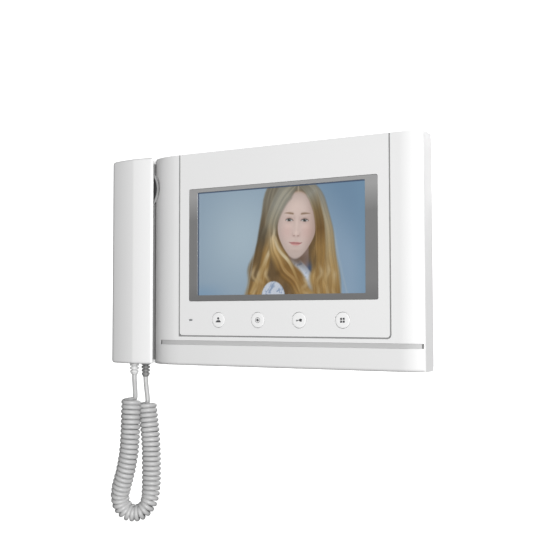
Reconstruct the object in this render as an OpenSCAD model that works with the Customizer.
// Video intercom monitor with a handset and a curly cord, for a wall.
// Millimetres. +X right seen from the front, +Z up, the wall is the plane Y = 0
// and the front faces -Y. The origin is the centre of the wall screws.

/* [Body] */
// height of the body and of the handset
body_h = 183; // [180:1:186]
// distance from the wall to the flat front
body_d = 25; // [24.6:0.2:26]
// left edge of the main cover
cover_x0 = -106.6; // [-106.8:0.1:-106]
// right edge of the main cover
cover_x1 = 146.3; // [146:0.1:150]
// wall thickness of the covers
wall = 2.2; // [2:0.1:2.4]
// radius of the left shoulder's edge
shoulder_r = 2; // [1.5:0.25:2.5]
// thickness of the plate that lies on the wall
back_t = 2.4; // [2:0.1:2.6]

/* [Front] */
// middle of the front panel, across
panel_cx = 23.4; // [23:0.1:24]
// width of the front panel
panel_w = 192.8; // [190:0.2:193.4]
// width of the groove round the front panel
groove = 1.2; // [0.4:0.1:1.4]
// bottom edge of the front panel
panel_z0 = -65.6; // [-66:0.1:-65]
// top edge of the slot over the lower trim
slot_z1 = -70; // [-70.4:0.1:-69.6]
// bottom edge of the slot
slot_z0 = -73.9; // [-74.4:0.1:-73.4]
// width of the display frame
bezel_w = 174; // [172:0.5:175]
// height of the display frame
bezel_h = 96.4; // [95:0.2:97]
// width of the display opening
view_w = 155.4; // [154:0.2:156]
// height of the display opening
view_h = 88.5; // [86:0.5:89]

/* [Keys] */
// distance from key to key
key_pitch = 38.1; // [36:0.1:39]
// radius of a key cap
key_r = 6.25; // [5:0.05:6.35]
// distance a key travels
key_travel = 0.6; // [0.3:0.1:0.6]

/* [Handset] */
// left side of the handset
hand_x0 = -148.8; // [-149.4:0.1:-148.6]
// right side of the handset
hand_x1 = -99; // [-99.6:0.1:-98.8]
// front of the handset
hand_y = -31.7; // [-33:0.1:-31]
// height of the earpiece's middle
ear_z = 65; // [62:0.5:66]
// height of the mouthpiece's middle
mouth_z = -65; // [-66:0.5:-62]

/* [Wall bracket] */
// distance between the wall screws, across
screw_dx = 46; // [46:1:60]
// distance between the wall screws, up
screw_dz = 83.5; // [83.5:0.5:90]
// radius of the wall screws' holes
screw_r = 2.25; // [2:0.05:2.6]

/* [Cord] */
// radius of the plain cord
wire_r = 2.1; // [1.6:0.1:2.1]
// outer radius of the curly cord
curl_r = 8.8; // [7:0.1:8.8]

/* [Hidden] */
$fn = 64;
front = -body_d;
top = body_h / 2;
key_z = -52.5;
key_x0 = panel_cx - 1.5 * key_pitch;
view_cx = 22.3;
view_cz = 12.8;
bezel_cz = 11.9;
hand_cx = (hand_x0 + hand_x1) / 2;
lip_x0 = hand_cx + 22;
back_x0 = -142.6;
back_x1 = -108.6;
ridge_x = -119;
relief_x = -125;
cradle_x0 = -145.3;
cradle_x1 = cover_x0 - 0.2;
bed_y = -9;
board_y = -13.6;

// ways the cord's pieces run, from the handset round the bend to the base
tail_a = [[relief_x, -20.7, -101.9], [relief_x, -20.7, -103.4],
    [relief_x, -21.4, -107.5], [relief_x, -22.7, -113], [-125.2, -24, -118.5],
    [-125.4, -24.4, -121.8], [-125.4, -24.4, -123.3]];
curl = [[-125.4, -24.4, -123.6], [-125.5, -24.4, -127], [-125.7, -24.8, -139],
    [-126, -25, -155], [-127.6, -25, -172], [-130.9, -25, -187],
    [-135.1, -24.8, -200], [-137.9, -24, -210], [-137.2, -22.2, -218],
    [-133, -19.8, -223.8], [-126.6, -17, -225.4], [-120.2, -14.2, -223.4],
    [-115.7, -11.8, -217], [-114.2, -10.4, -209], [-113.9, -9.8, -198],
    [-114, -9.6, -185], [-114.3, -9.6, -170], [-115.4, -9.6, -155],
    [-117.2, -9.6, -142], [-118.6, -9.6, -131], [-118.9, -9.6, -128]];
tail_b = [[-124, -5.3, -104.7], [-124, -5.3, -106.2], [-123.6, -6, -110.5],
    [-122, -7.8, -117.5], [-119.8, -9.2, -123.4], [-118.9, -9.6, -126.4],
    [-118.9, -9.6, -127.9]];

// ---------- helpers ----------

// flat rounded rectangle, width by height, centred
module rounded(w, h, r) {
    union() {
        square([w - 2 * r, h], center = true);
        square([w, h - 2 * r], center = true);
        for (x = [-1, 1], y = [-1, 1])
            translate([x * (w / 2 - r), y * (h / 2 - r)]) circle(r = r);
    }
}

// rounded plate parallel to the wall, from y0 in front to y1 behind
module plate(cx, cz, w, h, r, y0, y1) {
    translate([cx, y1, cz]) rotate([90, 0, 0])
        linear_extrude(y1 - y0) rounded(w, h, r);
}

// round disc parallel to the wall
module disc(cx, cz, r, y0, y1) {
    translate([cx, y1, cz]) rotate([90, 0, 0]) cylinder(h = y1 - y0, r = r);
}

// upright round bar
module post(cx, cy, r, z0, z1) {
    translate([cx, cy, z0]) cylinder(h = z1 - z0, r = r);
}

module box(x0, x1, y0, y1, z0, z1) {
    translate([x0, y0, z0]) cube([x1 - x0, y1 - y0, z1 - z0]);
}

// upright prism over a plan drawn in X and Y
module prism(z0, z1) {
    translate([0, 0, z0]) linear_extrude(z1 - z0) children();
}

// how far a rounded edge of radius r falls back, at distance t from the side
function edge(t, r) = t >= r ? 0 : r - sqrt(max(0, r * r - (r - t) * (r - t)));

// front line of the main cover, seen from above
function cover_y(x) = let (t = max(0, -73.7 - x))
    front + 0.05 * t + pow(t, 3) / 4300 + pow(max(0, x - 128.3), 2) / 79;

function cover_line(i) = let (a = cover_x0 + i, b = cover_x1 - i,
        ra = max(0.5, shoulder_r - i), rb = max(0.3, 1.2 - i))
    concat(
        [for (k = [0:7]) let (x = a + ra * (1 - cos(k * 90 / 7)))
            [x, cover_y(x) + i + edge(x - a, ra)]],
        [for (k = [1:7]) let (x = a + ra + k * (-74 - a - ra) / 8)
            [x, cover_y(x) + i]],
        [for (k = [0:9]) let (x = 128.3 + k * (b - rb - 128.3) / 9)
            [x, cover_y(x) + i]],
        [for (k = [1:5]) let (x = b - rb + rb * sin(k * 18))
            [x, cover_y(x) + i + edge(b - x, rb)]]);

// plan of the main cover, set in by i, back to y
module cover_plan(i, y) {
    polygon(concat([[cover_x0 + i, y]], cover_line(i), [[cover_x1 - i, y]]));
}

// crown of the handset, seen from above: two curves that meet at a soft ridge
function crown(x) = let (t = abs(x - ridge_x)) hand_y
    + (x < ridge_x ? 0.07 * t + t * t / 222 : 0.04 * t + t * t / 200);

// front line of the handset, set in by i
function hand_line(i) = let (a = hand_x0 + i, b = hand_x1 - i,
        ra = max(0.5, 5.5 - i), rb = max(0.3, 1.6 - i))
    concat(
        [for (k = [0:8]) let (x = a + ra * (1 - cos(k * 90 / 8)))
            [x, crown(x) + i + edge(x - a, ra)]],
        [for (k = [1:8]) let (x = a + ra + k * (ridge_x - a - ra) / 8)
            [x, crown(x) + i]],
        [for (k = [1:6]) let (x = ridge_x + k * (b - rb - ridge_x) / 6)
            [x, crown(x) + i]],
        [for (k = [1:5]) let (x = b - rb + rb * sin(k * 18))
            [x, crown(x) + i + edge(b - x, rb)]]);

// plan of the handset: its sides slant in towards a narrower back
module hand_plan(i, y) {
    polygon(concat([[back_x0 + i, y], [back_x0 + i, -14.6 - i * 0.5]],
        hand_line(i), [[back_x1 - i, -16.8 - i * 0.5], [back_x1 - i, y]]));
}

// round tube along a way, one ring of ten corners at each point
function unit(v) = v / norm(v);
function along(p, i) = unit(p[min(len(p) - 1, i + 1)] - p[max(0, i - 1)]);
function ring(p, i, r) = let (t = along(p, i),
        u = unit(cross(t, [-0.62, 0.785, 0])), v = cross(t, u))
    [for (k = [0:9]) p[i] + r * cos(k * 36) * u + r * sin(k * 36) * v];

module tube(p, r) {
    n = len(p);
    polyhedron(
        points = [for (i = [0:n - 1]) each ring(p, i, r)],
        faces = concat(
            [[for (k = [0:9]) k]],
            [for (i = [0:n - 2], k = [0:9]) let (a = i * 10 + k,
                    b = i * 10 + (k + 1) % 10)
                each [[a, a + 10, b + 10], [a, b + 10, b]]],
            [[for (k = [9:-1:0]) (n - 1) * 10 + k]]));
}

// ---------- wall bracket ----------

// hook that stands out of the bracket and turns up behind the case's floor
module hook(x, z) {
    box(x - 5, x + 5, -8, -1.4, z - 1.5, z);
    box(x - 5, x + 5, -8, -6.6, z - 1.5, z + 5);
}

module wall_bracket() {
    color("silver") union() {
        difference() {
            plate(0, 0, 110, 120, 4, -1.5, 0);
            plate(0, 0, 64, 52, 3, -2, 1);
            for (x = [-1, 1], z = [-1, 1])
                disc(x * screw_dx / 2, z * screw_dz / 2, screw_r, -2, 1);
        }
        for (x = [-46, 46], z = [-40, 40]) hook(x, z);
    }
}

// ---------- case ----------

module rear_case() {
    color("gainsboro") difference() {
        union() {
            plate((cradle_x0 + cover_x1 - 0.5) / 2, 0,
                cover_x1 - 0.5 - cradle_x0, body_h - 1, 3, -back_t, 0);
            plate(0, -3.5, 121, 133, 3, -6.4, 0);
            difference() {
                box(lip_x0, cover_x1 - 2.4, -6, -2, 2.4 - top, top - 2.4);
                box(lip_x0 + 1.6, cover_x1 - 4, -7, -1, 4 - top, top - 4);
            }
            for (x = [-70, 90], z = [-55, 57])
                disc(x, z, 3.5, board_y + 1.6, -1);
        }
        plate(0, -3.5, 117, 129, 2, -4.4, 1);
        plate(0, -3.5, 68, 59, 2, -7, 1);
        for (x = [-46, 46], z = [-40, 40])
            box(x - 5.6, x + 5.6, -7, 1, z - 10.6, z + 0.1);
        for (x = [-70, 90], z = [-55, 57]) disc(x, z, 1.4, -13, -3);
        for (x = [-92, 138], z = [-82, 82]) {
            disc(x, z, 1.7, -7, 1);
            disc(x, z, 3.2, -1.8, 1);
        }
        for (k = [0:7]) box(84 + k * 5, 86 + k * 5, -3, 1, 70, 80);
    }
}

module front_cover() {
    color("white") difference() {
        union() {
            difference() {
                prism(-top, top) cover_plan(0, -back_t - 0.1);
                prism(-64, top - wall) cover_plan(wall, 1);
                prism(wall - top, -63.9) translate([0, 3.2]) cover_plan(wall, 1);
            }
            plate(panel_cx, 10.5, panel_w + 7, 159, 3, front + 1.5,
                front + 4.1);
            intersection() {
                prism(-top, top) cover_plan(0, -6.2);
                disc(hand_cx, ear_z, 24, front, -6.2);
            }
            for (x = [-92, 138], z = [-82, 82])
                disc(x, z, 3.4, front + (x < 0 ? 4 : 3), -back_t - 0.2);
        }
        plate(panel_cx, (panel_z0 - groove + top + 6) / 2, panel_w + 2 * groove,
            top + 6 - panel_z0 + groove, 3.6, front - 1, front + 2.1);
        plate(panel_cx, 12.75, panel_w - 6, 150.5, 2, front, front + 5);
        disc(hand_cx, ear_z, 21.7, front - 1, -back_t + 1);
        translate([hand_cx, front + 9, ear_z]) rotate([90, 0, 0])
            cylinder(h = 5, r1 = 21.7, r2 = 26.7);
        prism(slot_z0, slot_z1) difference() {
            translate([-95.4, front - 2]) square([240.8, 20]);
            translate([0, 0.001]) cover_plan(3, 5);
            translate([142.6, front + 7.5]) square([20, 30]);
        }
        box(-95.2, -93, -20, -12, slot_z0 + 0.3, slot_z1 - 0.3);
        prism(-top - 1, slot_z0 - 0.1) difference() {
            trim_reach(0.3);
            cover_plan(2.1, 5);
        }
        for (k = [0:7])
            box(91 + k * 4.5, 93 + k * 4.5, -17, -7, -top - 1, -top + 3);
        for (x = [-92, 138], z = [-82, 82]) disc(x, z, 1.5, -18, 1);
    }
}

// how far the lower trim reaches back: more at its left end
module trim_reach(i) {
    translate([-110, front - 2]) square([270, 6.6 + i]);
    translate([-110, front - 2]) square([20 + i, 13.5 + i]);
}

module front_panel() {
    color("white") difference() {
        union() {
            plate(panel_cx, (panel_z0 + top) / 2, panel_w, top - panel_z0,
                2.5, front, front + 2);
            box(panel_cx - panel_w / 2, panel_cx + panel_w / 2, front,
                front + 2, 20, top);
        }
        plate(panel_cx, bezel_cz, bezel_w + 0.5, bezel_h + 0.5, 1.4,
            front - 1, front + 3);
        for (k = [0:3])
            disc(key_x0 + k * key_pitch, key_z, key_r + 0.3, front - 1,
                front + 3);
        plate(-61.8, key_z, 3.9, 1.6, 0.6, front - 1, front + 3);
    }
}

module lower_trim() {
    color("white") prism(-top, slot_z0 - 0.2) intersection() {
        difference() {
            cover_plan(0, -5);
            cover_plan(2, 0);
        }
        trim_reach(0);
    }
}

// ---------- display ----------

module display_bezel() {
    color("gray") difference() {
        union() {
            plate(panel_cx, bezel_cz, bezel_w, bezel_h, 1.2, front + 0.2,
                front + 2.2);
            plate(panel_cx, bezel_cz, 180, 101.6, 1.5, front + 2.1,
                front + 3.1);
        }
        plate(view_cx, view_cz, view_w, view_h, 0.8, front - 1, front + 5);
        plate(view_cx, view_cz, 158.6, 91.6, 0.8, front + 1.5, front + 5);
    }
}

module display_window() {
    color([0.8, 0.9, 1, 0.4])
        plate(view_cx, view_cz, 158.2, 91.2, 0.7, front + 1.6, front + 2.4);
}

module lcd_panel() {
    color("slategray")
        plate(view_cx, view_cz, 164, 99, 0.5, front + 3.3, front + 4.5);
}

module lcd_frame() {
    color("silver") difference() {
        plate(view_cx, view_cz, 166, 101, 1, front + 3.3, front + 8.5);
        plate(view_cx, view_cz, 164.4, 99.4, 0.6, front + 3, front + 7.8);
    }
}

module backlight() {
    color("white")
        plate(view_cx, view_cz, 164, 99, 0.5, front + 4.6, front + 7.6);
}

module display_ribbon() {
    color("orange") union() {
        box(-10, 20, -19, -18.8, -42.2, -38);
        box(-10, 20, -19, -13.7, -42.4, -42.2);
    }
}

// ---------- boards ----------

module main_board() {
    color("green") difference() {
        plate(10, 1, 170, 122, 2, board_y, board_y + 1.6);
        for (x = [-70, 90], z = [-55, 57]) disc(x, z, 1.7, -16, -10);
        box(-46, -26, -16, -10, -61, -50);
    }
}

module processor() {
    color("black") plate(-8, 12, 15, 15, 0.4, board_y - 1.4, board_y);
}

module memory_chips() {
    color("black") union() {
        plate(14, 20, 12, 9, 0.3, board_y - 1.1, board_y);
        plate(14, 4, 12, 9, 0.3, board_y - 1.1, board_y);
    }
}

module audio_chip() {
    color("black") plate(56, -24, 10, 6, 0.3, board_y - 1.5, board_y);
}

module crystal() {
    color("silver") plate(-26, 12, 4.6, 11, 2.2, board_y - 2.4, board_y);
}

module capacitors() {
    color("navy") union() {
        disc(72, 44, 4, -12, -3.4);
        disc(82, 44, 4, -12, -3.4);
        disc(72, 32, 3.2, -12, -5);
        disc(82, 32, 3.2, -12, -5);
    }
}

module relay() {
    color("royalblue") box(68, 84, -12, -3, -2, 18);
}

module power_coil() {
    color("peru") union() {
        disc(76, -22, 7, -12, -11);
        disc(76, -22, 5, -11.5, -4.5);
        disc(76, -22, 7, -5, -4);
    }
}

module terminal_block() {
    color("limegreen") difference() {
        box(13, 32, -12, -4.5, -22, 16);
        for (k = [0:5]) {
            box(14.5, 20, -9, -4, -19 + k * 6, -15.5 + k * 6);
            disc(26, -17.2 + k * 6, 1.9, -6, -4);
        }
    }
}

module line_connector() {
    color("ivory") difference() {
        box(-72, -64, -12, -5, -36, -20);
        box(-71, -65, -11, -4, -35, -21);
    }
}

module key_board() {
    color("green") plate(14.5, key_z, 161, 15, 1, -17.2, -16);
}

module key_switches() {
    color("dimgray") union() {
        for (k = [0:3]) {
            plate(key_x0 + k * key_pitch, key_z, 6, 6, 0.5, -19.4, -17.2);
            disc(key_x0 + k * key_pitch, key_z, 1.7, -21, -19.3);
        }
    }
}

module key_cable() {
    color("lightgray") box(66, 80, -16, board_y, -57, -56.7);
}

module status_led() {
    color("lightyellow") plate(-61.8, key_z, 3.2, 1.6, 0.2, -19, -17.2);
}

module led_lens() {
    color([0.8, 0.9, 1, 0.6]) union() {
        plate(-61.8, key_z, 3.5, 1.2, 0.5, front + 0.05, -19.3);
        plate(-61.8, key_z, 6, 4, 0.5, front + 2.1, front + 3);
    }
}

// a key: cap in the panel, collar behind it and a stem over the switch
module key(k) {
    x = key_x0 + k * key_pitch;
    union() {
        disc(x, key_z, key_r, front, front + 2.3);
        disc(x, key_z, key_r + 1.1, front + 2.2, front + 3);
        disc(x, key_z, 1.8, front + 2.9, -21 - key_travel - 0.1);
    }
}

module key_guard() {
    color("whitesmoke") key(0);
}

module key_light() {
    color("whitesmoke") key(1);
}

module key_door() {
    color("whitesmoke") key(2);
}

module key_menu() {
    color("whitesmoke") key(3);
}

// ---------- speaker ----------

module stadium_z(w, d, z0, z1) {
    translate([108, -11.5, z0]) linear_extrude(z1 - z0)
        rounded(w, d, d / 2 - 0.1);
}

module speaker_frame() {
    color("black") difference() {
        box(88, 128, -18.4, -4.6, -85, -74);
        stadium_z(36, 11, -86, -75.5);
    }
}

module speaker_cone() {
    color("dimgray") union() {
        stadium_z(35.6, 10.6, -82.5, -82);
        stadium_z(16, 5, -83.2, -82.2);
    }
}

module speaker_magnet() {
    color("silver") post(108, -11.5, 4.8, -81.8, -76);
}

// ---------- cradle ----------

module cradle_bed() {
    color("white") difference() {
        box(cradle_x0, cradle_x1, bed_y, -back_t - 0.1, 0.5 - top, top - 0.5);
        box(cradle_x0 + 2, cradle_x1 - 1.8, bed_y + 1.8, 0,
            2.5 - top, top - 2.5);
        intersection() {
            disc(hand_cx, ear_z, 21.5, -10, 0);
            box(cradle_x0 + 2, -90, -11, 1, 0, top);
        }
        disc(hand_cx, mouth_z, 17.2, -10, 0);
        box(-130.2, -117.8, -10, -5, 22.8, 37.2);
        post(-124, -5.3, 2.9, -top - 1, 4 - top);
    }
}

module ear_rest() {
    color("black") union() {
        difference() {
            intersection() {
                disc(hand_cx, ear_z, 21.3, -9, -back_t - 0.2);
                box(cradle_x0 + 2.2, -90, -10, 0, 0, top);
            }
            intersection() {
                disc(hand_cx, ear_z, 19.6, -10, -3.8);
                box(cradle_x0 + 3.8, -90, -11, 0, 0, top);
            }
        }
        intersection() {
            difference() {
                disc(hand_cx, ear_z, 21.3, -16, -8.9);
                disc(hand_cx, ear_z, 19.6, -18, -8);
            }
            box(back_x1 + 0.8, -99, -18, -8, ear_z - 13, ear_z + 13);
        }
        for (k = [-3:3])
            box(hand_cx - 14, hand_cx + 14, -4.6, -3.7,
                ear_z + k * 4 - 0.7, ear_z + k * 4 + 0.7);
    }
}

module mouth_rest() {
    color("black") difference() {
        disc(hand_cx, mouth_z, 17, -9, -back_t - 0.2);
        disc(hand_cx, mouth_z, 15.8, -10, -3.8);
    }
}

module hook_switch() {
    color("black") union() {
        box(-140.5, -131.5, -7, -2.7, 20, 40);
        box(-131.6, -130.3, -3.2, -2.7, 26, 34);
    }
}

module hook_plunger() {
    color("whitesmoke") union() {
        box(-130, -118, -9.3, -3.2, 23, 37);
        box(-131.2, -116.8, -4.1, -3.3, 21.5, 38.5);
    }
}

// ---------- screws ----------

module screw_back(x, z, y0, y1, head_r, shank_r, head_h) {
    union() {
        disc(x, z, head_r, y1 - head_h, y1);
        disc(x, z, shank_r, y0, y1 - head_h + 0.1);
    }
}

module case_screws() {
    color("silver") union() {
        for (x = [-92, 138], z = [-82, 82])
            screw_back(x, z, -15, -0.4, 2.8, 1.35, 1.3);
    }
}

module board_screws() {
    color("silver") union() {
        for (x = [-70, 90], z = [-55, 57]) {
            disc(x, z, 2.8, -15.2, board_y);
            disc(x, z, 1.3, board_y - 0.1, -5);
        }
    }
}

module handset_screws() {
    color("silver") union() {
        for (z = [-36, 46]) screw_back(hand_cx, z, -24, -10.2, 2.7, 1.35, 1.2);
    }
}

// ---------- cord holders ----------

// stepped sleeve: three collars on a thinner neck
module relief(x, y, z, len) {
    union() {
        post(x, y, 2.8, z - len, z + 2.5);
        for (k = [0:2])
            post(x, y, 4 - k * 0.25, z - 2.9 - k * 3.4, z - k * 3.4);
    }
}

module base_relief() {
    color("lightgray") relief(-124, -5.3, -top - 0.1, 12.9);
}

module handset_relief() {
    color("lightgray") relief(relief_x, -20.7, -top - 0.1, 10.2);
}

// ---------- handset ----------

module handset_front() {
    color("white") difference() {
        union() {
            difference() {
                prism(0.3 - top, top - 0.3) hand_plan(0, -13.5);
                prism(2.5 - top, top - 2.5) hand_plan(2.2, 0);
            }
            for (z = [-36, 46]) disc(hand_cx, z, 3.2, hand_y + 2, -13.5);
        }
        for (z = [-36, 46]) disc(hand_cx, z, 1.5, -26, -12);
        post(relief_x, -20.7, 2.9, -top - 1, 4 - top);
    }
}

module handset_back() {
    color("white") difference() {
        union() {
            prism(0.3 - top, top - 0.3)
                translate([(back_x0 + back_x1) / 2, -11.4])
                    rounded(back_x1 - back_x0, 3.9, 1.5);
            disc(hand_cx, ear_z, 15.4, -11, -5.2);
            disc(hand_cx, mouth_z, 15.2, -11, -5.4);
        }
        difference() {
            box(back_x0 + 2, back_x1 - 2, -14, -11.4, 2.5 - top, top - 2.5);
            for (z = [-36, 46]) disc(hand_cx, z, 4, -15, -11);
        }
        disc(hand_cx, ear_z, 13.8, -12, -7.2);
        disc(hand_cx, mouth_z, 13.6, -12, -7.2);
        disc(hand_cx, ear_z, 10.7, -8, -5);
        disc(hand_cx, mouth_z, 9.2, -8, -5);
        for (z = [-36, 46]) {
            disc(hand_cx, z, 1.7, -14, -8);
            disc(hand_cx, z, 3, -11.5, -8);
        }
    }
}

// round black grille with slots, set in the back
module grille(z, r, y, n) {
    difference() {
        disc(hand_cx, z, r, y - 1.5, y);
        for (k = [-n:n]) let (w = sqrt(r * r - k * k * 9) - 2.5)
            box(hand_cx - w, hand_cx + w, y - 3, y + 1,
                z + k * 3 - 0.7, z + k * 3 + 0.7);
    }
}

module ear_grille() {
    color("black") grille(ear_z, 10.5, -5.3, 2);
}

module mouth_grille() {
    color("black") grille(mouth_z, 9, -5.5, 2);
}

module receiver() {
    color("dimgray") union() {
        disc(hand_cx, ear_z, 11.4, -10.5, -7.3);
        disc(hand_cx, ear_z, 8.5, -13.6, -10.4);
    }
}

module receiver_ring() {
    color("gray") difference() {
        disc(hand_cx, ear_z, 13.6, -9.4, -7.3);
        disc(hand_cx, ear_z, 11.6, -10, -7);
    }
}

module microphone() {
    color("silver") disc(hand_cx, mouth_z, 4.8, -11, -7.4);
}

module mic_boot() {
    color("black") difference() {
        disc(hand_cx, mouth_z, 8.4, -12.2, -7.3);
        disc(hand_cx, mouth_z, 5, -11.4, -7);
    }
}

module weight_bar() {
    color("gray") box(hand_cx - 8, hand_cx + 8, -26, -20, -26, 34);
}

// ---------- cord ----------

module cord_tail_handset() {
    color("white") tube(tail_a, wire_r);
}

module cord_curl() {
    color("white") tube(curl, curl_r);
}

module cord_tail_base() {
    color("white") tube(tail_b, wire_r);
}

// ---------- assembly ----------

wall_bracket();
rear_case();
front_cover();
front_panel();
lower_trim();
display_bezel();
display_window();
lcd_panel();
lcd_frame();
backlight();
display_ribbon();
main_board();
processor();
memory_chips();
audio_chip();
crystal();
capacitors();
relay();
power_coil();
terminal_block();
line_connector();
key_board();
key_switches();
key_cable();
status_led();
led_lens();
speaker_frame();
speaker_cone();
speaker_magnet();
cradle_bed();
ear_rest();
mouth_rest();
hook_switch();
case_screws();
board_screws();
base_relief();
key_guard();
key_light();
key_door();
key_menu();
hook_plunger();
handset_front();
handset_back();
ear_grille();
mouth_grille();
receiver();
receiver_ring();
microphone();
mic_boot();
weight_bar();
handset_screws();
handset_relief();
cord_tail_handset();
cord_curl();
cord_tail_base();
